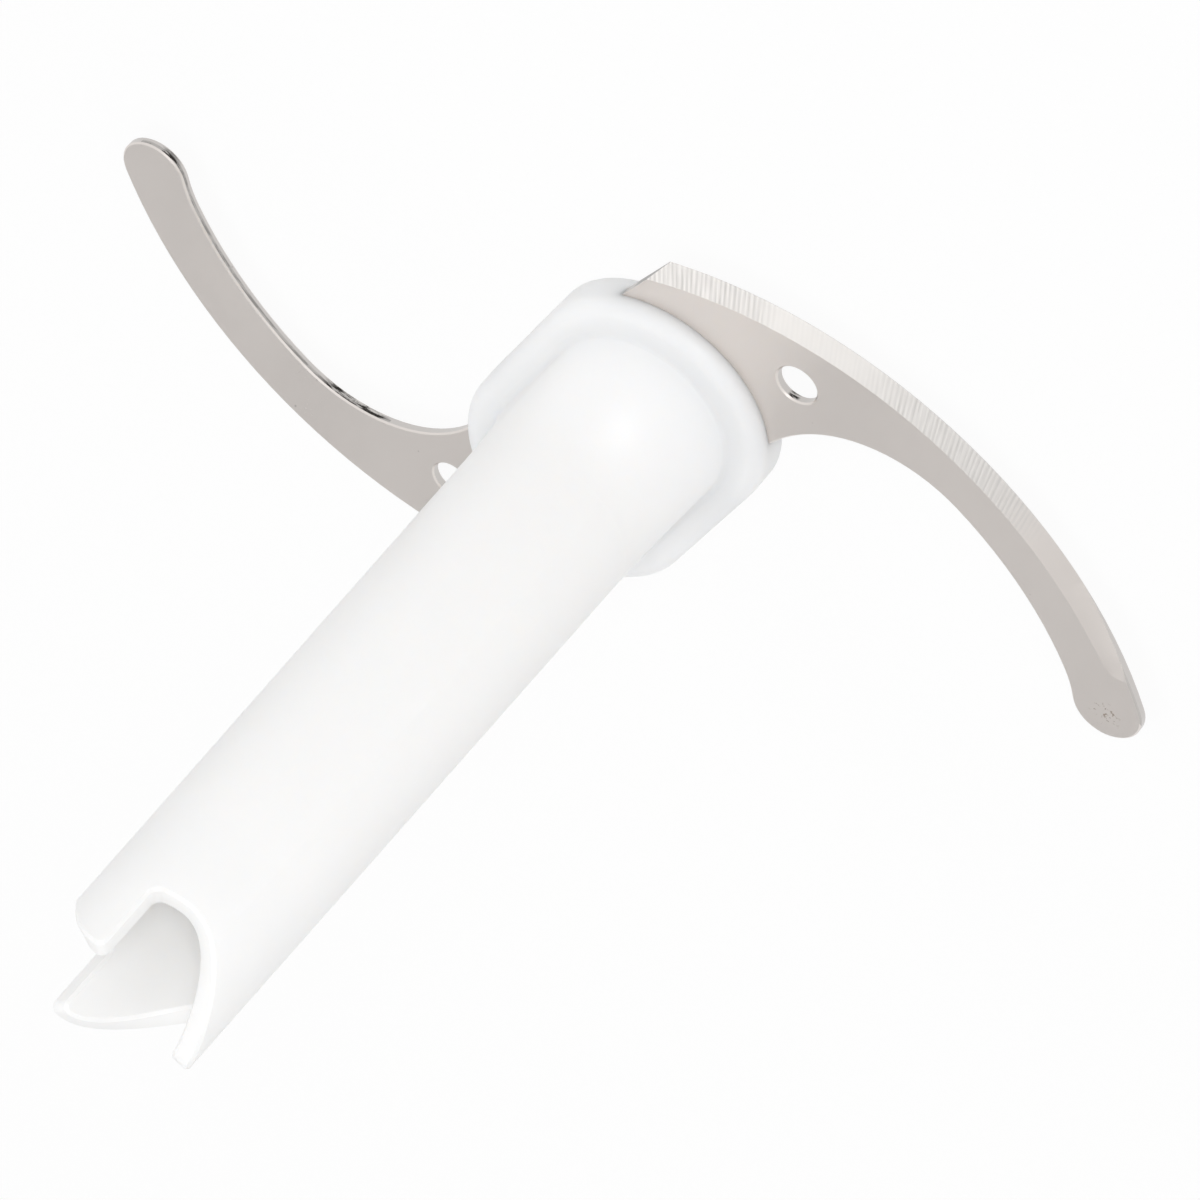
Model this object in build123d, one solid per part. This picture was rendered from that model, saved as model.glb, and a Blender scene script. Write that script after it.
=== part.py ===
from build123d import *
import math
import os

# Tapered tube of the hub
TUBE_FOOT_DIA = 22.0
TUBE_END_DIA = 20.3
HUB_HEIGHT = 100.2
TUBE_WALL_END = 2.4
CUT_OVER = 1.0
NEAR = 0.05

# Bore from below for a spindle with a thicker foot, and the web between it and the socket
SPINDLE_DIA = 7.4
SPINDLE_FOOT_DIA = 9.0
SPINDLE_FOOT_DEPTH = 20.0
SPINDLE_CLEARANCE = 0.2
SPINDLE_LEAD = 0.6
SOCKET_WEB = 4.0
SOCKET_BELOW_TEETH = 10.7
SOCKET_CORNER = 0.5

# Collar: oblong flange, raised body and flare up to the tube
COLLAR_ANGLE = 17.5
COLLAR_RUN = 20.6
COLLAR_HEIGHT = 5.5
BODY_STEP = 0.2
LEDGE = 3.7
RIM_SHARE = 0.5
TROUGH_SHARE = 0.25
FOOT_CHAMFER = 0.5
FLARE_HEIGHT = 13.0
FLARE_BULGE = 0.75
FLARE_SECTIONS = 5
FLARE_SINK = 0.5
SEAM_RUN = 0.2
SEAM_ANGLE = 1.0

# Drive crown of saw teeth at the tube's open end
TEETH = 3
TOOTH_HEIGHT = 9.5
TOOTH_ANGLE = 50.0
RAMP_ANGLE = 95.0
RAMP_STEP = 16.0
RAMP_LEAD = 2.0
TIP_ROUND = 0.9
ROOT_ROUND = 1.2
CROWN_CHAMFER = 0.35

# Stamped steel plate
SHEET = 1.2
SHEET_LEVEL = 2.0
EDGE_RADIUS = 55.4
EDGE_CENTRE_X = -5.3
EDGE_CENTRE_Y = -28.6
INNER_RADIUS = 44.8
INNER_CENTRE_X = -2.9
INNER_CENTRE_Y = -28.8
NECK_RADIUS = 17.2
NECK_ANGLE = 12.0
NECK_END_ANGLE = 138.35
TIP_HOOK = 0.4
TIP_ANGLE = -22.4
TIP_BLEND = 16.0
CORNER_ANGLE = 57.2
HOLE_DIA = 5.0
HOLE_DISTANCE = 31.1
KEY_HOLE_DIA = 14.0
BEVEL_WIDTH = 2.65
EDGE_LAND = 0.12
GRIND_PAST_ANGLE = 40.0
BEVEL_END_ANGLE = -4.0
RUN_OUT_ANGLE = 14.0
RUN_OUT_LIFT = 0.03
RUN_OUT_STEPS = 3
SHEET_CHAMFER = 0.2


def polar(centre, radius, degrees):
    """Point at a radius and an angle about a centre."""
    angle = math.radians(degrees)
    return (centre[0] + radius * math.cos(angle), centre[1] + radius * math.sin(angle))


def bearing(centre, point):
    """Angle of a point about a centre, in degrees."""
    return math.degrees(math.atan2(point[1] - centre[1], point[0] - centre[0]))


def meet(centre_a, radius_a, centre_b, radius_b):
    """Where two circles cross, on the right of the line from the first centre to the second."""
    gap = math.dist(centre_a, centre_b)
    along = (radius_a**2 - radius_b**2 + gap**2) / (2 * gap)
    aside = math.sqrt(radius_a**2 - along**2)
    ux = (centre_b[0] - centre_a[0]) / gap
    uy = (centre_b[1] - centre_a[1]) / gap
    return (centre_a[0] + along * ux + aside * uy, centre_a[1] + along * uy - aside * ux)


def reach(start, centre, radius, degrees):
    """Distance from a point inside a circle to the circle, along an angle."""
    angle = math.radians(degrees)
    offset_x = centre[0] - start[0]
    offset_y = centre[1] - start[1]
    along = offset_x * math.cos(angle) + offset_y * math.sin(angle)
    return along + math.sqrt(radius**2 - offset_x**2 - offset_y**2 + along**2)


def turn(centre, radius, start, finish):
    """Arc about a centre from one point to another, taken the short way."""
    first = bearing(centre, start)
    sweep = (bearing(centre, finish) - first + 180) % 360 - 180
    return ThreePointArc(start, polar(centre, radius, first + sweep / 2), finish)


def opposite(point):
    """The same point after half a turn about the axis."""
    return (-point[0], -point[1])


# Centres of the plate's arcs, each tangent to the next
edge_centre = (EDGE_CENTRE_X, EDGE_CENTRE_Y)
inner_centre = (INNER_CENTRE_X, INNER_CENTRE_Y)
neck_centre = polar(inner_centre, INNER_RADIUS - NECK_RADIUS, NECK_ANGLE)
tip_width = EDGE_RADIUS - reach(edge_centre, inner_centre, INNER_RADIUS, TIP_ANGLE)
tip_radius = (tip_width + TIP_HOOK) / 2
tip_centre = polar(edge_centre, EDGE_RADIUS - tip_radius, TIP_ANGLE)
blend_centre = meet(tip_centre, tip_radius + TIP_BLEND, inner_centre, INNER_RADIUS - TIP_BLEND)

# Points where the plate's arcs join
root_corner = polar(edge_centre, EDGE_RADIUS, CORNER_ANGLE)
tip_outer = polar(edge_centre, EDGE_RADIUS, TIP_ANGLE)
tip_inner = polar(tip_centre, tip_radius, bearing(tip_centre, blend_centre))
tip_far = polar(tip_centre, tip_radius, TIP_ANGLE - 90)
blend_end = polar(inner_centre, INNER_RADIUS, bearing(inner_centre, blend_centre))
neck_start = polar(inner_centre, INNER_RADIUS, NECK_ANGLE)
neck_end = polar(neck_centre, NECK_RADIUS, NECK_END_ANGLE)
back_corner = opposite(root_corner)

# Plate outline: one blade's edges, then the same after half a turn
half = [
    turn(edge_centre, EDGE_RADIUS, root_corner, tip_outer),
    turn(tip_centre, tip_radius, tip_outer, tip_far),
    turn(tip_centre, tip_radius, tip_far, tip_inner),
    turn(blend_centre, TIP_BLEND, tip_inner, blend_end),
    turn(inner_centre, INNER_RADIUS, blend_end, neck_start),
    turn(neck_centre, NECK_RADIUS, neck_start, neck_end),
    Line(neck_end, back_corner),
]
outline = Wire(half + [Rot(0, 0, 180) * edge for edge in half])
plate = extrude(Pos(0, 0, SHEET_LEVEL) * make_face(outline), SHEET)

# Broken stamped edges away from the two cutting edges
round_edges = plate.edges().filter_by(GeomType.CIRCLE)
dull = [edge for edge in round_edges if edge.radius < EDGE_RADIUS - NEAR]
plate = chamfer(dull, SHEET_CHAMFER)

# Cutting bevels: ground on the upper face of one blade and the lower face of the other
top = SHEET_LEVEL + SHEET
slant = (SHEET - EDGE_LAND) / BEVEL_WIDTH


def stone_section(share):
    """Upright section of the grinding stone, which flattens as its share of the run-out grows."""
    steep = slant * (1 - share)
    level = top + RUN_OUT_LIFT * share
    high = level + 2 * BEVEL_WIDTH * slant
    inner = EDGE_RADIUS - 2 * BEVEL_WIDTH
    outer = EDGE_RADIUS + BEVEL_WIDTH
    corners = [
        (inner, level + BEVEL_WIDTH * steep),
        (outer, level - 2 * BEVEL_WIDTH * steep),
        (outer, high),
        (inner, high),
    ]
    return Plane.XZ * make_face(Polyline(*corners, close=True))


ground_angle = CORNER_ANGLE + GRIND_PAST_ANGLE - BEVEL_END_ANGLE
stone = Rot(0, 0, BEVEL_END_ANGLE) * revolve(stone_section(0), Axis.Z, ground_angle)
run_out = []
for step in range(RUN_OUT_STEPS + 1):
    share = step / RUN_OUT_STEPS
    run_out.append(Rot(0, 0, BEVEL_END_ANGLE - RUN_OUT_ANGLE * share) * stone_section(share))
stone = stone + loft(run_out)
upper_bevel = Pos(edge_centre[0], edge_centre[1], 0) * stone
middle = Plane.XY.offset(SHEET_LEVEL + SHEET / 2)
lower_bevel = Rot(0, 0, 180) * mirror(upper_bevel, middle)
plate = plate - upper_bevel - lower_bevel

# Locating holes and the middle hole the plastic fills
drill = Cylinder(HOLE_DIA / 2, 4 * SHEET)
plate = plate - Pos(HOLE_DISTANCE, 0, SHEET_LEVEL + SHEET / 2) * drill
plate = plate - Pos(-HOLE_DISTANCE, 0, SHEET_LEVEL + SHEET / 2) * drill
plate = plate - Pos(0, 0, SHEET_LEVEL + SHEET / 2) * Cylinder(KEY_HOLE_DIA / 2, 4 * SHEET)
round_edges = plate.edges().filter_by(GeomType.CIRCLE)
rims = [edge for edge in round_edges if abs(edge.radius - HOLE_DIA / 2) < NEAR]
plate = chamfer(rims, SHEET_CHAMFER)


def tube_radius(level):
    """Outer radius of the tapered tube at a height."""
    return (TUBE_FOOT_DIA + (TUBE_END_DIA - TUBE_FOOT_DIA) * level / HUB_HEIGHT) / 2


def oblong(half_run, radius, level):
    """Oblong face at a height, with round ends of one radius about two centres."""
    lines = [
        CenterArc((half_run, 0), radius, -90, 180),
        Line((half_run, radius), (-half_run, radius)),
        CenterArc((-half_run, 0), radius, 90, 180),
        Line((-half_run, -radius), (half_run, -radius)),
    ]
    return Pos(0, 0, level) * make_face(Wire(lines))


def quartered(radius, half_angle, level):
    """Round face at a height, cut into four arcs that pair with an oblong's four edges."""
    lines = [
        CenterArc((0, 0), radius, half_angle - 90, 180 - 2 * half_angle),
        CenterArc((0, 0), radius, 90 - half_angle, 2 * half_angle),
        CenterArc((0, 0), radius, 90 + half_angle, 180 - 2 * half_angle),
        CenterArc((0, 0), radius, 270 - half_angle, 2 * half_angle),
    ]
    return Pos(0, 0, level) * make_face(Wire(lines))


# Flange of the collar with a rounded upper rim
body_radius = TUBE_FOOT_DIA / 2 + BODY_STEP
flange = extrude(oblong(COLLAR_RUN - TUBE_FOOT_DIA / 2, body_radius + LEDGE, 0), COLLAR_HEIGHT)
flange = fillet(flange.faces().sort_by(Axis.Z)[-1].edges(), LEDGE * RIM_SHARE)
flange = chamfer(flange.faces().sort_by(Axis.Z)[0].edges(), FOOT_CHAMFER)

# Flare from the raised oblong body up to the round tube
flare_top = COLLAR_HEIGHT + FLARE_HEIGHT
extra = COLLAR_RUN - tube_radius(flare_top)
steep = 1 - math.sqrt(1 - FLARE_BULGE**2)
sections = []
for step in range(FLARE_SECTIONS):
    share = 1 - step / FLARE_SECTIONS
    spread = extra * (1 - math.sqrt(1 - (FLARE_BULGE * share) ** 2)) / steep
    level = COLLAR_HEIGHT - FLARE_SINK * share + FLARE_HEIGHT * (1 - share)
    radius = tube_radius(level) + BODY_STEP * share
    sections.append(oblong(max(spread, SEAM_RUN), radius, level))
sections.append(quartered(tube_radius(flare_top), SEAM_ANGLE, flare_top))
flare = loft(sections)
foot_solid = flange + flare
ledge_face = foot_solid.faces().filter_by(Plane.XY).filter_by_position(
    Axis.Z, COLLAR_HEIGHT - NEAR, COLLAR_HEIGHT + NEAR
)[0]
foot_solid = fillet(ledge_face.inner_wires()[0].edges(), LEDGE * TROUGH_SHARE)
foot_solid = Rot(0, 0, COLLAR_ANGLE) * foot_solid

# Tube above the flare, left a little long until the crown is cut
tube = Pos(0, 0, flare_top) * Cone(
    tube_radius(flare_top),
    tube_radius(HUB_HEIGHT + CUT_OVER),
    HUB_HEIGHT + CUT_OVER - flare_top,
    align=(Align.CENTER, Align.CENTER, Align.MIN),
)
hub = foot_solid + tube

# Drive socket inside the crown, with a plain floor above the spindle
root_level = HUB_HEIGHT - TOOTH_HEIGHT
socket_floor = root_level - SOCKET_BELOW_TEETH
core_radius = tube_radius(HUB_HEIGHT) - TUBE_WALL_END
core = Polyline(
    (0, socket_floor),
    (core_radius - SOCKET_CORNER, socket_floor),
    (core_radius, socket_floor + SOCKET_CORNER),
    (core_radius, HUB_HEIGHT + 2 * CUT_OVER),
    (0, HUB_HEIGHT + 2 * CUT_OVER),
    close=True,
)
hub = hub - revolve(Plane.XZ * make_face(core), Axis.Z, 360)

# Stepped spindle bore from below with a lead-in
spindle_depth = socket_floor - SOCKET_WEB
bore_radius = (SPINDLE_DIA + SPINDLE_CLEARANCE) / 2
foot_radius = (SPINDLE_FOOT_DIA + SPINDLE_CLEARANCE) / 2
bore = Polyline(
    (0, -CUT_OVER),
    (foot_radius + SPINDLE_LEAD + CUT_OVER, -CUT_OVER),
    (foot_radius, SPINDLE_LEAD),
    (foot_radius, SPINDLE_FOOT_DEPTH),
    (bore_radius, SPINDLE_FOOT_DEPTH),
    (bore_radius, spindle_depth),
    (0, spindle_depth),
    close=True,
)
hub = hub - revolve(Plane.XZ * make_face(bore), Axis.Z, 360)

# Crown: each gap falls in a half wave from a tooth's tip and ends at the next upright drive face
pitch = 360 / TEETH
cut_inner = core_radius / 2
cut_outer = tube_radius(HUB_HEIGHT) + 3 * CUT_OVER
count = round(pitch / RAMP_STEP)
slices = []
for step in range(count + 1):
    angle = pitch * step / count if step else -RAMP_LEAD
    wave = math.cos(math.pi * min(abs(angle) / RAMP_ANGLE, 1))
    level = HUB_HEIGHT - TOOTH_HEIGHT * (1 - wave) / 2
    slice_face = make_face(
        Polyline(
            (cut_inner, level),
            (cut_outer, level),
            (cut_outer, HUB_HEIGHT + 2 * CUT_OVER),
            (cut_inner, HUB_HEIGHT + 2 * CUT_OVER),
            close=True,
        )
    )
    slices.append(Rot(0, 0, angle) * (Plane.XZ * slice_face))
gap = loft(slices)
for index in range(TEETH):
    hub = hub - Rot(0, 0, TOOTH_ANGLE + index * pitch) * gap

# Rounded tooth roots and tooth tips
roots = [
    edge
    for edge in hub.edges()
    if edge.length < 2 * TUBE_WALL_END and abs(edge.center().Z - root_level) < NEAR
]
hub = fillet(roots, ROOT_ROUND)
tips = [
    edge
    for edge in hub.edges()
    if edge.length < 2 * TUBE_WALL_END and abs(edge.center().Z - HUB_HEIGHT) < NEAR
]
hub = fillet(tips, TIP_ROUND)

# Softened outer and inner edges all round the crown
middle_radius = core_radius + TUBE_WALL_END / 2
soft = [
    edge
    for edge in hub.edges()
    if edge.center().Z > root_level - ROOT_ROUND
    and abs(math.hypot((edge @ 0.5).X, (edge @ 0.5).Y) - middle_radius) > TUBE_WALL_END / 4
]
hub = chamfer(soft, CROWN_CHAMFER)

# Pocket the collar is moulded with around the plate
hub = hub - plate

os.makedirs("parts", exist_ok=True)
export_step(plate, "parts/blade.step")
export_step(hub, "parts/hub.step")
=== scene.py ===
"""Food processor blade: a moulded white hub and a ground steel plate on a plain studio stage."""

import math

import bpy
from bpy.props import FloatProperty, FloatVectorProperty, PointerProperty
from mathutils import Matrix, Vector

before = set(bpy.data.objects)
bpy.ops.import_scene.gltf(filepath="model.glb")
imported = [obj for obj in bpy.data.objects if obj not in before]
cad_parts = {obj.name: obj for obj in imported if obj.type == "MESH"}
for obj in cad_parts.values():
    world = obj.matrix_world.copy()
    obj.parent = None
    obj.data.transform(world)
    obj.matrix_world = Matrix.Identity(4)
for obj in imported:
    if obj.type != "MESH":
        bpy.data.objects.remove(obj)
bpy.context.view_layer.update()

bl_info = {
    "name": "Food Processor Blade",
    "version": (1, 0, 0),
    "blender": (4, 5, 0),
    "location": "View3D > Sidebar > Blade",
    "description": "Finishes the moulded hub and the ground steel plate and sets up their stage",
    "category": "Object",
}


# Noise of the plastic and of the steel, in cells to the metre
PLASTIC_CLOUDS = 90.0
PLASTIC_WAVES = 160.0
STEEL_CLOUDS = 60.0
STEEL_GRAIN = 4200.0
STEEL_PITS = 900.0
STEEL_SPECKS = 1500.0

# Levels of a noise where a mark starts to show and where it is full
PIT_LEVELS = (0.78, 0.86)
SPECK_LEVELS = (0.56, 0.66)
TEAR_LEVELS = (0.44, 0.54)
WEIGHT_LEVELS = (0.3, 0.7)
FINE_LEVELS = (0.35, 0.65)

# Spread of roughness that clouds and grain give, and the roughness that marks add
PLASTIC_CLOUD_ROUGH = 0.12
PLASTIC_GRAIN_ROUGH = 0.06
STEEL_CLOUD_ROUGH = 0.08
STEEL_GRAIN_ROUGH = 0.06
LINE_ROUGH = 0.15
STAIN_ROUGH = 0.3
RIM_ROUGH = 0.25

# Brightness of marks against the colour that they start from
CLOUD_SHADES = (0.97, 1.03)
LINE_SHADE = 0.81
RIM_SHADE = 0.9
PIT_SHADE = 0.4

# Share of each mark that shows, and of the metal's look that a stain takes away
PIT_SHARE = 0.5
STAIN_SHARE = 0.8
STAIN_DULLING = 0.7
ROOT_SCUFF_SHARE = 0.6
SHEAR_SHARE = 0.25
SHEAR_TORN_SHARE = 0.3

# Plastic: its refractive index, and the height that clouds shift its painted shade (a cooler, darker tint
# on upward faces) by
PLASTIC_IOR = 1.49
TOP_SHADE_WANDER = 0.004

# How far a surface faces up, from 0 for an upright wall to 1 for a level face
# The first pair: how far up a face must look for the hub's painted shade to start and to be full
TOP_SHADE_FACES = (0.1, 0.7)
BEVEL_FACES = 0.3
WALL_FACES = 0.45
RIM_FACES = 0.95

# Distance from the axis beyond which a wall that faces the axis counts as an inner one, which gets painted
# light
INNER_WALL = 0.002

# Spans of angle about the cutting edge's centre in degrees, which grow from the tip to the root
LEAN_SPAN = (15.0, 58.0)
ROOT_LINES = (41.0, 47.0)
END_LINES = (2.0, 9.0)
END_LINES_FADE = (23.0, 33.0)
FRESH_STEEL = (0.0, 14.0)
CONCAVE_END = 26.0

# Grinding lines: their slope, and how they wander, thicken and split, counted in lines or as a share
LEAN_AT_TIP = 0.5
LEAN_LOSS = 0.4
WANDER = 0.8
WANDER_EVERY = 3.0
WEIGHT_SHARE = 0.6
WEIGHT_EVERY = 1.6
FINE_SHARE = 0.25
FINE_PER_LINE = 3.0
END_FADE = 0.85

# Distance across the bevel over which a line's weight and the fine lines change
WEIGHT_LENGTH = 0.005
FINE_LENGTH = 0.003

# Torn places in the cut wall: each one's property, and the distances where it is full and has faded
TORN_PLACES = (
    ("arm_scuff", 0.0028, 0.005),
    ("tip_scuff", 0.0008, 0.0022),
    ("hole_scuff", 0.0004, 0.0009),
)
TEAR_LENGTH = 0.0025
TEAR_HEIGHT = 0.0003
ROOT_SCUFF_SPAN = (0.0028, 0.0042)
SHEAR_LINE_SPAN = (0.0001, 0.0003)
STAIN_SPAN = (0.0008, 0.0024)

# Lamps and card: angles round from the camera and above the horizon, and the lamps' widths
KEY_TURN = math.radians(154.0)
KEY_HEIGHT = math.radians(64.0)
KEY_WIDTH = 0.66
FRONT_WIDTH = 0.25
SIDE_TURN = math.radians(-80.0)
SIDE_HEIGHT = math.radians(24.0)
SIDE_WIDTH = 0.5
FILL_TURN = math.radians(75.0)
FILL_HEIGHT = math.radians(38.0)
FILL_WIDTH = 0.5
CARD_TURN = math.radians(194.0)
CARD_HEIGHT = math.radians(47.0)

# Camera
SENSOR_WIDTH = 36.0


# Sizes and colours that a user would change


class HubFinish(bpy.types.PropertyGroup):
    """Finish of the moulded plastic hub."""

    colour: FloatVectorProperty(
        name="Plastic",
        description="Colour of the moulded plastic",
        subtype="COLOR",
        min=0.0,
        max=1.0,
        default=(0.953, 0.944, 0.93),
    )
    # Painted shade: a darker, cooler tint on the hub's upward faces near the collar, where less light
    # falls
    painted_top_shade_colour: FloatVectorProperty(
        name="Cool plastic",
        description="Colour where the wall is thick, towards the collar",
        subtype="COLOR",
        min=0.0,
        max=1.0,
        default=(0.925, 0.924, 0.927),
    )
    # Painted light: a lighter tint on the walls that face the axis, inside the drive crown, standing in
    # for light that passes through the thin walls and fills the hollow
    painted_inner_light: FloatVectorProperty(
        name="Inside plastic",
        description="Colour of the thin inner walls, which light passes through",
        subtype="COLOR",
        min=0.0,
        max=1.0,
        default=(0.995, 0.99, 0.98),
    )
    roughness: FloatProperty(
        name="Roughness",
        description="Roughness of the satin moulded skin",
        subtype="FACTOR",
        min=0.0,
        max=1.0,
        default=0.42,
    )
    grain_size: FloatProperty(
        name="Grain size",
        description="Width of the fine moulded grain",
        unit="LENGTH",
        default=0.00035,
    )
    grain_depth: FloatProperty(
        name="Grain depth",
        description="Height of the fine moulded grain",
        unit="LENGTH",
        default=0.000006,
    )
    wave_depth: FloatProperty(
        name="Wave depth",
        description="Height of the slow waves in the moulded skin",
        unit="LENGTH",
        default=0.00003,
    )
    top_shade_start: FloatProperty(
        name="Cool start",
        description="Height above the underside where the cooler tint starts to fade",
        unit="LENGTH",
        default=0.008,
    )
    top_shade_height: FloatProperty(
        name="Cool height",
        description="Height above the underside where the cooler tint has faded",
        unit="LENGTH",
        default=0.034,
    )
    gloss: FloatProperty(
        name="Gloss",
        description="Strength of the plastic's own reflection",
        subtype="FACTOR",
        min=0.0,
        max=1.0,
        default=0.36,
    )
    scatter_share: FloatProperty(
        name="Scatter share",
        description="Share of the light that scatters inside the plastic",
        subtype="FACTOR",
        min=0.0,
        max=1.0,
        default=0.6,
    )
    scatter_reach: FloatVectorProperty(
        name="Scatter reach",
        description="How far red, green and blue light scatter inside the plastic",
        unit="LENGTH",
        default=(0.005, 0.0046, 0.0042),
    )


class SteelFinish(bpy.types.PropertyGroup):
    """Finish of the stamped steel plate."""

    face_colour: FloatVectorProperty(
        name="Rolled face",
        description="Colour of the rolled steel faces",
        subtype="COLOR",
        min=0.0,
        max=1.0,
        default=(0.725, 0.68, 0.648),
    )
    bevel_colour: FloatVectorProperty(
        name="Ground bevel",
        description="Colour of the freshly ground bevels",
        subtype="COLOR",
        min=0.0,
        max=1.0,
        default=(0.72, 0.698, 0.676),
    )
    wall_colour: FloatVectorProperty(
        name="Cut wall",
        description="Colour of the sheared wall round the plate",
        subtype="COLOR",
        min=0.0,
        max=1.0,
        default=(0.6, 0.575, 0.555),
    )
    scuff_colour: FloatVectorProperty(
        name="Scuff",
        description="Colour of the torn streaks in the cut wall",
        subtype="COLOR",
        min=0.0,
        max=1.0,
        default=(0.035, 0.033, 0.03),
    )
    stain_colour: FloatVectorProperty(
        name="Stain",
        description="Colour of the specks near one tip",
        subtype="COLOR",
        min=0.0,
        max=1.0,
        default=(0.2, 0.14, 0.09),
    )
    face_roughness: FloatProperty(
        name="Face roughness",
        description="Roughness of the rolled steel faces",
        subtype="FACTOR",
        min=0.0,
        max=1.0,
        default=0.3,
    )
    bevel_roughness: FloatProperty(
        name="Bevel roughness",
        description="Roughness of the ground bevels",
        subtype="FACTOR",
        min=0.0,
        max=1.0,
        default=0.4,
    )
    edge_centre: FloatVectorProperty(
        name="Edge centre",
        description="Centre of the cutting edge's arc in plan",
        subtype="XYZ",
        unit="LENGTH",
        default=(-0.0053, -0.0286, 0.0),
    )
    edge_radius: FloatProperty(
        name="Edge radius",
        description="Radius of the cutting edge's arc",
        unit="LENGTH",
        default=0.0554,
    )
    bevel_width: FloatProperty(
        name="Bevel width",
        description="Width of the ground bevel in plan",
        unit="LENGTH",
        default=0.00265,
    )
    bevel_end: FloatProperty(
        name="Bevel end",
        description="Angle about the edge's centre where the bevel starts to flatten",
        subtype="ANGLE",
        default=math.radians(-4.0),
    )
    run_out: FloatProperty(
        name="Run-out",
        description="Angle over which the bevel flattens out towards the tip",
        subtype="ANGLE",
        default=math.radians(14.0),
    )
    line_spacing: FloatProperty(
        name="Line spacing",
        description="Distance between the grinding lines",
        unit="LENGTH",
        default=0.00062,
    )
    line_depth: FloatProperty(
        name="Line depth",
        description="Depth of the grinding lines",
        unit="LENGTH",
        default=0.000016,
    )
    grain_depth: FloatProperty(
        name="Grain depth",
        description="Height of the fine grain of the rolled faces",
        unit="LENGTH",
        default=0.0000003,
    )
    rim_width: FloatProperty(
        name="Rim width",
        description="Width of the broken edge on the convex side",
        unit="LENGTH",
        default=0.0004,
    )
    edge_band: FloatProperty(
        name="Edge band",
        description="Width of the band along the cutting edge that holds no concave wall",
        unit="LENGTH",
        default=0.004,
    )
    shear_level: FloatProperty(
        name="Shear level",
        description="Height of the dark line along the concave walls",
        unit="LENGTH",
        default=0.0028,
    )
    stain_place: FloatVectorProperty(
        name="Stain place",
        description="Middle of the specks near one tip",
        subtype="XYZ",
        unit="LENGTH",
        default=(0.0412, -0.0487, 0.0032),
    )
    arm_scuff: FloatVectorProperty(
        name="Arm scuff",
        description="Middle of the torn streaks in the concave wall of one arm",
        subtype="XYZ",
        unit="LENGTH",
        default=(-0.0371, 0.0133, 0.0026),
    )
    tip_scuff: FloatVectorProperty(
        name="Tip scuff",
        description="Middle of the torn streak at the same arm's tip",
        subtype="XYZ",
        unit="LENGTH",
        default=(-0.039, 0.0488, 0.0026),
    )
    hole_scuff: FloatVectorProperty(
        name="Hole scuff",
        description="Middle of the torn patch in the wall of one hole",
        subtype="XYZ",
        unit="LENGTH",
        default=(0.0289, -0.0015, 0.0026),
    )
    root_scuff: FloatVectorProperty(
        name="Root scuff",
        description="Middle of the dark part of one straight root edge",
        subtype="XYZ",
        unit="LENGTH",
        default=(0.0215, 0.0174, 0.0026),
    )


class StageSetup(bpy.types.PropertyGroup):
    """Floor, lamps and camera."""

    floor_colour: FloatVectorProperty(
        name="Floor",
        description="Colour of the floor",
        subtype="COLOR",
        min=0.0,
        max=1.0,
        default=(0.86, 0.86, 0.86),
    )
    floor_size: FloatProperty(
        name="Floor size",
        description="Length of the floor's side",
        unit="LENGTH",
        default=12.0,
    )
    floor_white: FloatProperty(
        name="Floor white",
        description="Share of plain white that the camera and the metal see in the floor",
        subtype="FACTOR",
        min=0.0,
        max=1.0,
        default=0.93,
    )
    sky_strength: FloatProperty(
        name="Sky strength",
        description="Strength of the even light from all round",
        default=0.64,
    )
    lamp_distance: FloatProperty(
        name="Lamp distance",
        description="Distance of the lamps from the object",
        unit="LENGTH",
        default=1.05,
    )
    key_power: FloatProperty(
        name="Key lamp",
        description="Power of the large soft lamp behind the object",
        unit="POWER",
        default=1.3,
    )
    front_power: FloatProperty(
        name="Front lamp",
        description="Power of the lamp behind the camera",
        unit="POWER",
        default=2.8,
    )
    side_power: FloatProperty(
        name="Side lamp",
        description="Power of the soft lamp beside the tube",
        unit="POWER",
        default=1.3,
    )
    fill_power: FloatProperty(
        name="Fill lamp",
        description="Power of the soft lamp on the tube's other side",
        unit="POWER",
        default=1.1,
    )
    card_colour: FloatVectorProperty(
        name="Card",
        description="Colour of the card that the steel faces mirror",
        subtype="COLOR",
        min=0.0,
        max=1.0,
        default=(0.92, 0.92, 0.92),
    )
    card_size: FloatProperty(
        name="Card size",
        description="Length of the card's side",
        unit="LENGTH",
        default=1.6,
    )
    card_distance: FloatProperty(
        name="Card distance",
        description="Distance of the card from the object",
        unit="LENGTH",
        default=1.2,
    )
    aim: FloatVectorProperty(
        name="Aim",
        description="Point that the camera looks at",
        subtype="XYZ",
        unit="LENGTH",
        default=(0.003894, -0.009817, 0.021677),
    )
    azimuth: FloatProperty(
        name="Azimuth",
        description="Direction of the camera round the hub's axis, from the X axis",
        subtype="ANGLE",
        default=math.radians(21.636),
    )
    elevation: FloatProperty(
        name="Elevation",
        description="Height of the camera above the horizon",
        subtype="ANGLE",
        default=math.radians(33.941),
    )
    roll: FloatProperty(
        name="Roll",
        description="Turn of the camera about its line of sight",
        subtype="ANGLE",
        default=math.radians(-139.139),
    )
    distance: FloatProperty(
        name="Distance",
        description="Distance from the camera to its aim",
        unit="LENGTH",
        default=0.716936,
    )
    lens: FloatProperty(
        name="Lens",
        description="Focal length for a square picture on a 36 mm sensor",
        unit="CAMERA",
        default=195.0,
    )


# Shader maths


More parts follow.
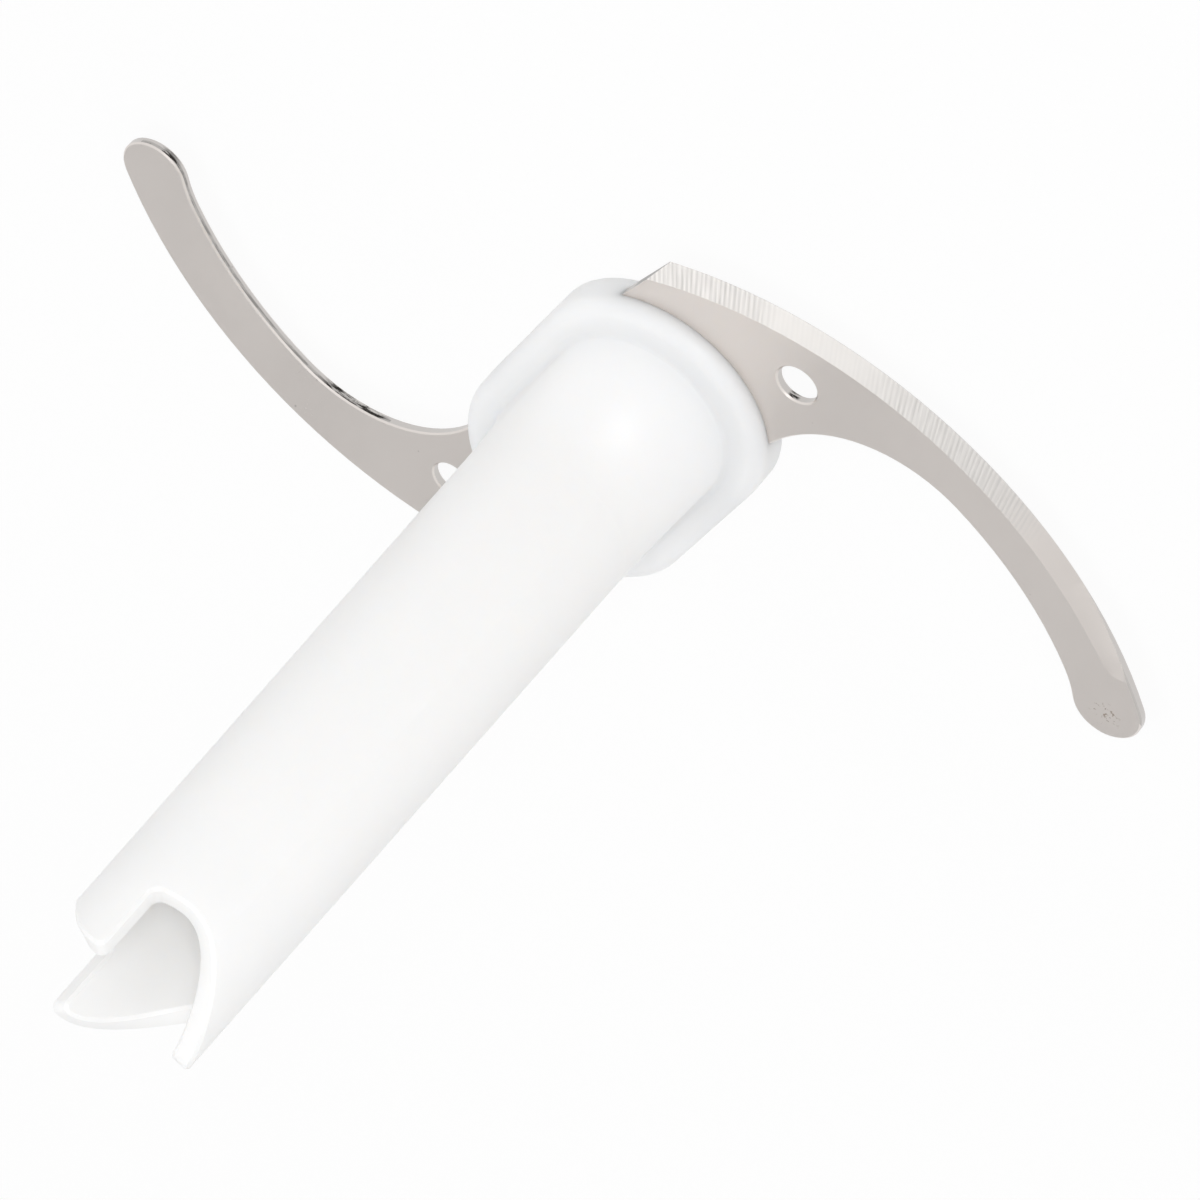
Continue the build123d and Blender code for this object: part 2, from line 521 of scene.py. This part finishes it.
class Socket:
    """An output socket that adds Math nodes when it is used in arithmetic."""

    def __init__(self, paint, output):
        self.paint = paint
        self.output = output

    def part(self, name):
        """Another output of the same node."""
        return Socket(self.paint, self.output.node.outputs[name])

    def __add__(self, other):
        return self.paint.maths("ADD", self, other)

    def __radd__(self, other):
        return self.paint.maths("ADD", other, self)

    def __sub__(self, other):
        return self.paint.maths("SUBTRACT", self, other)

    def __rsub__(self, other):
        return self.paint.maths("SUBTRACT", other, self)

    def __mul__(self, other):
        return self.paint.maths("MULTIPLY", self, other)

    def __rmul__(self, other):
        return self.paint.maths("MULTIPLY", other, self)

    def __truediv__(self, other):
        return self.paint.maths("DIVIDE", self, other)

    def __rtruediv__(self, other):
        return self.paint.maths("DIVIDE", other, self)

    def __pow__(self, other):
        return self.paint.maths("POWER", self, other)

    def __gt__(self, other):
        return self.paint.maths("GREATER_THAN", self, other)

    def __lt__(self, other):
        return self.paint.maths("LESS_THAN", self, other)


class Paint:
    """The nodes of one material or of the world."""

    def __init__(self, owner):
        self.owner = owner
        owner.use_nodes = True
        self.tree = owner.node_tree
        self.tree.nodes.clear()

    def node(self, kind, settings=None, sockets=None, output=0):
        """Adds a node: its settings first, then the values or links of its sockets."""
        node = self.tree.nodes.new(kind)
        for name, value in (settings or {}).items():
            setattr(node, name, value)
        for name, value in (sockets or {}).items():
            if isinstance(value, Socket):
                self.tree.links.new(value.output, node.inputs[name])
            else:
                node.inputs[name].default_value = value
        if not node.outputs:
            return None
        return Socket(self, node.outputs[output])

    def maths(self, operation, *values):
        return self.node("ShaderNodeMath", {"operation": operation}, dict(enumerate(values)))

    def mix(self, factor, first, second):
        """Blend of two colours."""
        return self.node(
            "ShaderNodeMix", {"data_type": "RGBA"}, {0: factor, 6: first, 7: second}, output=2
        )

    def rise(self, value, low, high):
        """Smooth climb from 0 at low to 1 at high."""
        return self.node(
            "ShaderNodeMapRange",
            {"interpolation_type": "SMOOTHSTEP"},
            {"Value": value, "From Min": low, "From Max": high},
        )

    def noise(self, vector, scale, detail=2.0, roughness=0.5):
        """Noise from 0 to 1 about a middle of 0.5."""
        return self.node(
            "ShaderNodeTexNoise",
            None,
            {"Vector": vector, "Scale": scale, "Detail": detail, "Roughness": roughness},
        )

    def near(self, vector, place, full, none):
        """1 within one distance of a place, falling to 0 at another."""
        spot = self.node(
            "ShaderNodeVectorMath",
            {"operation": "DISTANCE"},
            {0: vector, 1: place},
            output="Value",
        )
        return 1.0 - self.rise(spot, full, none)

    def place(self, x, y, z):
        return self.node("ShaderNodeCombineXYZ", None, {"X": x, "Y": y, "Z": z})

    def split(self, vector):
        """The three numbers of a vector."""
        x = self.node("ShaderNodeSeparateXYZ", None, {0: vector})
        return x, x.part("Y"), x.part("Z")

    def coordinates(self):
        """The piece's own coordinates in metres."""
        return self.node("ShaderNodeTexCoord", output="Object")

    def facing(self):
        """The direction that the surface faces."""
        return self.node("ShaderNodeNewGeometry", output="Normal")

    def vary(self, noise, amount):
        """Half an amount more or less, as a noise goes."""
        return (noise - 0.5) * amount

    def bump(self, height, depth, under=None):
        sockets = {"Height": height, "Distance": depth, "Strength": 1.0}
        if under is not None:
            sockets["Normal"] = under
        return self.node("ShaderNodeBump", None, sockets)


def colour(value):
    """A colour property with full alpha."""
    return (*value, 1.0)


def shade(value, factor):
    """A colour property made darker or lighter by a factor."""
    return colour([channel * factor for channel in value])


def new_material(name):
    return Paint(bpy.data.materials.new(name))


def wear(node_name, paint):
    """Puts a material on every slot of a CAD node."""
    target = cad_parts.get(node_name)
    if target is None:
        raise RuntimeError(f"The frame has no node named {node_name}")
    if not target.material_slots:
        target.data.materials.append(paint.owner)
    for slot in target.material_slots:
        slot.material = paint.owner


# Pieces


class BLADE_OT_dress_hub(bpy.types.Operator):
    """Gives the hub its satin moulded plastic"""

    bl_idname = "blade.dress_hub"
    bl_label = "Dress Hub"

    def execute(self, context):
        finish = context.scene.hub_finish
        paint = new_material("satin_white_plastic")
        whole = paint.coordinates()
        x, y, z = paint.split(whole)
        face_x, face_y, upward = paint.split(paint.facing())
        clouds = paint.noise(whole, PLASTIC_CLOUDS, 3.0)
        waves = paint.noise(whole, PLASTIC_WAVES, 2.0)
        grain = paint.noise(whole, 1.0 / finish.grain_size, 3.0, 0.6)

        # Painted shade: a cooler, darker tint on the collar's upward faces, fading with height. Painted
        # light: a lighter tint on the walls that face the axis, inside the crown
        level = z + paint.vary(clouds, TOP_SHADE_WANDER)
        fade = paint.rise(level, finish.top_shade_start, finish.top_shade_height)
        top_shade = paint.rise(upward, *TOP_SHADE_FACES) * (1.0 - fade)
        # Painted light on the inner walls, standing in for light that fills the crown's hollow
        lit_inner = face_x * x + face_y * y < -INNER_WALL
        tint = paint.mix(top_shade, colour(finish.colour), colour(finish.painted_top_shade_colour))
        tint = paint.mix(lit_inner, tint, colour(finish.painted_inner_light))

        roughness = finish.roughness + paint.vary(clouds, PLASTIC_CLOUD_ROUGH)
        roughness = roughness + paint.vary(grain, PLASTIC_GRAIN_ROUGH)
        skin = paint.bump(waves, finish.wave_depth)
        skin = paint.bump(grain, finish.grain_depth, skin)

        shader = paint.node(
            "ShaderNodeBsdfPrincipled",
            None,
            {
                "Base Color": tint,
                "Roughness": roughness,
                "IOR": PLASTIC_IOR,
                "Specular IOR Level": finish.gloss,
                "Subsurface Weight": finish.scatter_share,
                "Subsurface Radius": finish.scatter_reach,
                "Subsurface Scale": 1.0,
                "Normal": skin,
            },
        )
        paint.node("ShaderNodeOutputMaterial", None, {"Surface": shader})
        wear("hub", paint)
        return {"FINISHED"}


class Plate:
    """Plan coordinates and masks that the plate's finish is worked out from."""

    def __init__(self, paint, finish):
        self.paint = paint
        self.whole = paint.coordinates()
        self.x, self.y, self.z = paint.split(self.whole)
        _face_x, _face_y, upward = paint.split(paint.facing())

        # Plan coordinates of whichever arm this is, turned onto the arm with the upper bevel
        arm = paint.maths("SIGN", self.x)
        along = self.x * arm - finish.edge_centre[0]
        across = self.y * arm - finish.edge_centre[1]
        self.reach = (along * along + across * across) ** 0.5
        self.turn = paint.maths("ARCTAN2", across, along)

        # Bevel: the outer band of the face that each arm was ground on
        kept = paint.rise(self.turn, finish.bevel_end - finish.run_out, finish.bevel_end)
        band = self.reach > finish.edge_radius - finish.bevel_width
        self.bevel = band * (upward * arm > BEVEL_FACES) * kept

        # Cut wall all round, and the broken edge on the convex side where the bevel has run out
        steep = paint.maths("ABSOLUTE", upward)
        outermost = self.reach > finish.edge_radius - finish.rim_width
        self.wall = steep < WALL_FACES
        self.rim = outermost * (steep < RIM_FACES) * (steep > WALL_FACES) * (1.0 - self.bevel)

    def past(self, span):
        """Climb from 0 to 1 over a span of angle about the cutting edge's centre."""
        start, end = span
        return self.paint.rise(self.turn, math.radians(start), math.radians(end))


def grinding_lines(paint, finish, plate):
    """Lines that the grinding stone left across the bevel, leaning more towards the tip."""
    lean = LEAN_AT_TIP - plate.past(LEAN_SPAN) * LEAN_LOSS
    run = plate.turn * finish.edge_radius
    pace = (run + lean * (finish.edge_radius - plate.reach)) / finish.line_spacing
    wander = paint.noise(paint.place(pace / WANDER_EVERY, 0.0, 0.0), 1.0, 2.0)
    lines = paint.maths("SINE", (pace + wander * WANDER) * math.tau) * 0.5 + 0.5
    fine_at = paint.place(pace * FINE_PER_LINE, plate.reach / FINE_LENGTH, 4.0)
    fine_lines = paint.rise(paint.noise(fine_at, 1.0, 1.0), *FINE_LEVELS)
    weight_at = paint.place(pace / WEIGHT_EVERY, plate.reach / WEIGHT_LENGTH, 9.0)
    weight = paint.rise(paint.noise(weight_at, 1.0, 1.0), *WEIGHT_LEVELS)
    lines = lines * (1.0 - WEIGHT_SHARE + weight * WEIGHT_SHARE)
    strokes = lines * (1.0 - FINE_SHARE) + fine_lines * FINE_SHARE

    # They show near the root and again before the run-out
    near_end = plate.past(END_LINES) * (1.0 - plate.past(END_LINES_FADE) * END_FADE)
    shown = paint.maths("MAXIMUM", plate.past(ROOT_LINES), near_end)
    return strokes * shown * plate.bevel


def torn_streaks(paint, finish, plate):
    """Dark streaks that the cut left in the wall."""
    torn_at = paint.place(plate.x / TEAR_LENGTH, plate.y / TEAR_LENGTH, plate.z / TEAR_HEIGHT)
    torn = paint.rise(paint.noise(torn_at, 1.0, 4.0, 0.7), *TEAR_LEVELS)
    patches = 0.0
    for name, full, faded in TORN_PLACES:
        patch = paint.near(plate.whole, getattr(finish, name), full, faded)
        patches = paint.maths("MAXIMUM", patches, patch)
    root = paint.near(plate.whole, finish.root_scuff, *ROOT_SCUFF_SPAN)
    streaks = torn * patches + root * ROOT_SCUFF_SHARE

    # Dark line along the concave walls, which ends short of the holes
    off_line = paint.maths("ABSOLUTE", plate.z - finish.shear_level)
    shear_line = 1.0 - paint.rise(off_line, *SHEAR_LINE_SPAN)
    inside = plate.reach < finish.edge_radius - finish.edge_band
    concave = inside * (plate.turn < math.radians(CONCAVE_END))
    streaks = streaks + shear_line * concave * (SHEAR_SHARE + torn * SHEAR_TORN_SHARE)
    return paint.maths("MINIMUM", streaks, 1.0) * plate.wall


class BLADE_OT_dress_plate(bpy.types.Operator):
    """Gives the plate its rolled steel faces, ground bevels, torn walls and specks"""

    bl_idname = "blade.dress_plate"
    bl_label = "Dress Plate"

    def execute(self, context):
        finish = context.scene.steel_finish
        paint = new_material("ground_steel")
        plate = Plate(paint, finish)
        strokes = grinding_lines(paint, finish, plate)

        # Rolled face: soft cloudiness, fine grain, tiny pits, and specks in a patch near one tip
        clouds = paint.noise(plate.whole, STEEL_CLOUDS, 3.0)
        grain = paint.noise(plate.whole, STEEL_GRAIN, 2.0)
        pits = paint.rise(paint.noise(plate.whole, STEEL_PITS, 1.0), *PIT_LEVELS)
        specks = paint.rise(paint.noise(plate.whole, STEEL_SPECKS, 2.0, 0.7), *SPECK_LEVELS)
        stain = specks * paint.near(plate.whole, finish.stain_place, *STAIN_SPAN)

        # The bevel takes on the face's tint towards its run-out
        bevel = paint.mix(plate.past(FRESH_STEEL), colour(finish.face_colour), colour(finish.bevel_colour))
        bevel = paint.mix(strokes, bevel, shade(finish.bevel_colour, LINE_SHADE))

        darker, lighter = (shade(finish.face_colour, factor) for factor in CLOUD_SHADES)
        base = paint.mix(clouds, darker, lighter)
        layers = (
            (plate.bevel, bevel),
            (plate.wall, colour(finish.wall_colour)),
            (plate.rim, shade(finish.wall_colour, RIM_SHADE)),
            (torn_streaks(paint, finish, plate), colour(finish.scuff_colour)),
            (pits * PIT_SHARE, shade(finish.face_colour, PIT_SHADE)),
            (stain * STAIN_SHARE, colour(finish.stain_colour)),
        )
        for mask, layer in layers:
            base = paint.mix(mask, base, layer)

        rolled = finish.face_roughness + paint.vary(clouds, STEEL_CLOUD_ROUGH)
        rolled = rolled + paint.vary(grain, STEEL_GRAIN_ROUGH)
        ground = finish.bevel_roughness + strokes * LINE_ROUGH
        roughness = rolled * (1.0 - plate.bevel) + ground * plate.bevel
        roughness = roughness + stain * STAIN_ROUGH + plate.rim * RIM_ROUGH

        skin = paint.bump(strokes * -1.0, finish.line_depth)
        skin = paint.bump(grain * (1.0 - plate.bevel), finish.grain_depth, skin)

        shader = paint.node(
            "ShaderNodeBsdfPrincipled",
            None,
            {
                "Base Color": base,
                "Metallic": 1.0 - stain * STAIN_DULLING,
                "Roughness": roughness,
                "Normal": skin,
            },
        )
        paint.node("ShaderNodeOutputMaterial", None, {"Surface": shader})
        wear("blade", paint)
        return {"FINISHED"}


# Stage


def toward(azimuth, elevation):
    """Direction at an angle round from the X axis and an angle above the horizon."""
    level = math.cos(elevation)
    return Vector((level * math.cos(azimuth), level * math.sin(azimuth), math.sin(elevation)))


def stand(direction, distance, aim=(0, 0, 0)):
    """Place at a distance along a direction from an aim, with the Z axis away from it."""
    side = Vector((0, 0, 1)).cross(direction).normalized()
    turn = Matrix((side, direction.cross(side), direction)).transposed()
    return Matrix.Translation(Vector(aim) + direction * distance) @ turn.to_4x4()


def new_object(name, data):
    thing = bpy.data.objects.new(name, data)
    bpy.context.collection.objects.link(thing)
    return thing


def stage_sheet(name, size, paint):
    """A square sheet of the stage, which isn't part of the object."""
    half = size / 2
    mesh = bpy.data.meshes.new(name)
    corners = [(-half, -half, 0), (half, -half, 0), (half, half, 0), (-half, half, 0)]
    mesh.from_pydata(corners, [], [(0, 1, 2, 3)])
    mesh.materials.append(paint.owner)
    sheet = new_object(name, mesh)
    return sheet


def soft_lamp(name, stage, turn, height, size, power):
    """A round lamp at an angle round from the camera and an angle above the horizon."""
    lamp = bpy.data.lights.new(name, "AREA")
    lamp.shape = "DISK"
    lamp.size = size
    lamp.energy = power
    holder = new_object(name, lamp)
    holder.matrix_world = stand(toward(stage.azimuth + turn, height), stage.lamp_distance)
    return holder


def seen_as_white(paint):
    """1 for rays of the camera, of reflections and through clear things, 0 for the rest."""
    rays = paint.node("ShaderNodeLightPath", output="Is Camera Ray")
    either = paint.maths("MAXIMUM", rays, rays.part("Is Glossy Ray"))
    return paint.maths("MAXIMUM", either, rays.part("Is Transmission Ray"))


class BLADE_OT_set_stage(bpy.types.Operator):
    """Lays the floor, hangs the card and the lamps and sets the camera"""

    bl_idname = "blade.set_stage"
    bl_label = "Set Stage"

    def execute(self, context):
        scene = context.scene
        stage = scene.stage_setup
        scene.view_settings.view_transform = "Standard"
        self.lay_floor(stage)
        self.hang_card(stage)
        self.light(scene, stage)
        self.set_camera(scene, stage)
        return {"FINISHED"}

    def lay_floor(self, stage):
        paint = new_material("pale_floor")
        matt = paint.node("ShaderNodeBsdfDiffuse", None, {"Color": colour(stage.floor_colour)})
        white = paint.node("ShaderNodeEmission", None, {"Color": (1, 1, 1, 1), "Strength": 1.0})
        share = seen_as_white(paint) * stage.floor_white
        shader = paint.node("ShaderNodeMixShader", None, {0: share, 1: matt, 2: white})
        paint.node("ShaderNodeOutputMaterial", None, {"Surface": shader})
        stage_sheet("floor", stage.floor_size, paint)

    def hang_card(self, stage):
        """Hangs a pale card across from the camera, where the plate's faces mirror it."""
        paint = new_material("pale_card")
        matt = paint.node("ShaderNodeBsdfDiffuse", None, {"Color": colour(stage.card_colour)})
        paint.node("ShaderNodeOutputMaterial", None, {"Surface": matt})
        card = stage_sheet("card", stage.card_size, paint)
        across = toward(stage.azimuth + CARD_TURN, CARD_HEIGHT)
        card.matrix_world = stand(across, stage.card_distance)

    def light(self, scene, stage):
        world = bpy.data.worlds.new("studio")
        scene.world = world
        paint = Paint(world)
        white = seen_as_white(paint)
        strength = white + (1.0 - white) * stage.sky_strength
        sky = paint.node("ShaderNodeBackground", None, {"Color": (1, 1, 1, 1), "Strength": strength})
        paint.node("ShaderNodeOutputWorld", None, {"Surface": sky})
        soft_lamp("key_lamp", stage, KEY_TURN, KEY_HEIGHT, KEY_WIDTH, stage.key_power)
        soft_lamp("front_lamp", stage, 0.0, stage.elevation, FRONT_WIDTH, stage.front_power)
        side = soft_lamp("side_lamp", stage, SIDE_TURN, SIDE_HEIGHT, SIDE_WIDTH, stage.side_power)
        fill = soft_lamp("fill_lamp", stage, FILL_TURN, FILL_HEIGHT, FILL_WIDTH, stage.fill_power)

        # These two light the plastic's sides, so the steel doesn't mirror them
        for lamp in (side, fill):
            lamp.visible_glossy = False

    def set_camera(self, scene, stage):
        camera = bpy.data.cameras.new("camera")
        camera.sensor_width = SENSOR_WIDTH
        camera.lens = stage.lens
        holder = new_object("camera", camera)
        place = stand(toward(stage.azimuth, stage.elevation), stage.distance, stage.aim)
        holder.matrix_world = place @ Matrix.Rotation(stage.roll, 4, "Z")
        scene.camera = holder


class BLADE_PT_sidebar(bpy.types.Panel):
    """Lists the steps and their settings"""

    bl_idname = "BLADE_PT_sidebar"
    bl_label = "Food Processor Blade"
    bl_space_type = "VIEW_3D"
    bl_region_type = "UI"
    bl_category = "Blade"

    def draw(self, context):
        rows = (
            (BLADE_OT_dress_hub, context.scene.hub_finish),
            (BLADE_OT_dress_plate, context.scene.steel_finish),
            (BLADE_OT_set_stage, context.scene.stage_setup),
        )
        for step, settings in rows:
            box = self.layout.box()
            box.operator(step.bl_idname)
            for name in settings.__annotations__:
                box.prop(settings, name)


classes = (
    HubFinish,
    SteelFinish,
    StageSetup,
    BLADE_OT_dress_hub,
    BLADE_OT_dress_plate,
    BLADE_OT_set_stage,
    BLADE_PT_sidebar,
)


def register():
    for item in classes:
        bpy.utils.register_class(item)
    bpy.types.Scene.hub_finish = PointerProperty(type=HubFinish)
    bpy.types.Scene.steel_finish = PointerProperty(type=SteelFinish)
    bpy.types.Scene.stage_setup = PointerProperty(type=StageSetup)


def unregister():
    del bpy.types.Scene.stage_setup
    del bpy.types.Scene.steel_finish
    del bpy.types.Scene.hub_finish
    for item in reversed(classes):
        bpy.utils.unregister_class(item)


def main():
    register()
    bpy.ops.blade.dress_hub()
    bpy.ops.blade.dress_plate()
    bpy.ops.blade.set_stage()


if __name__ == "__main__":
    main()
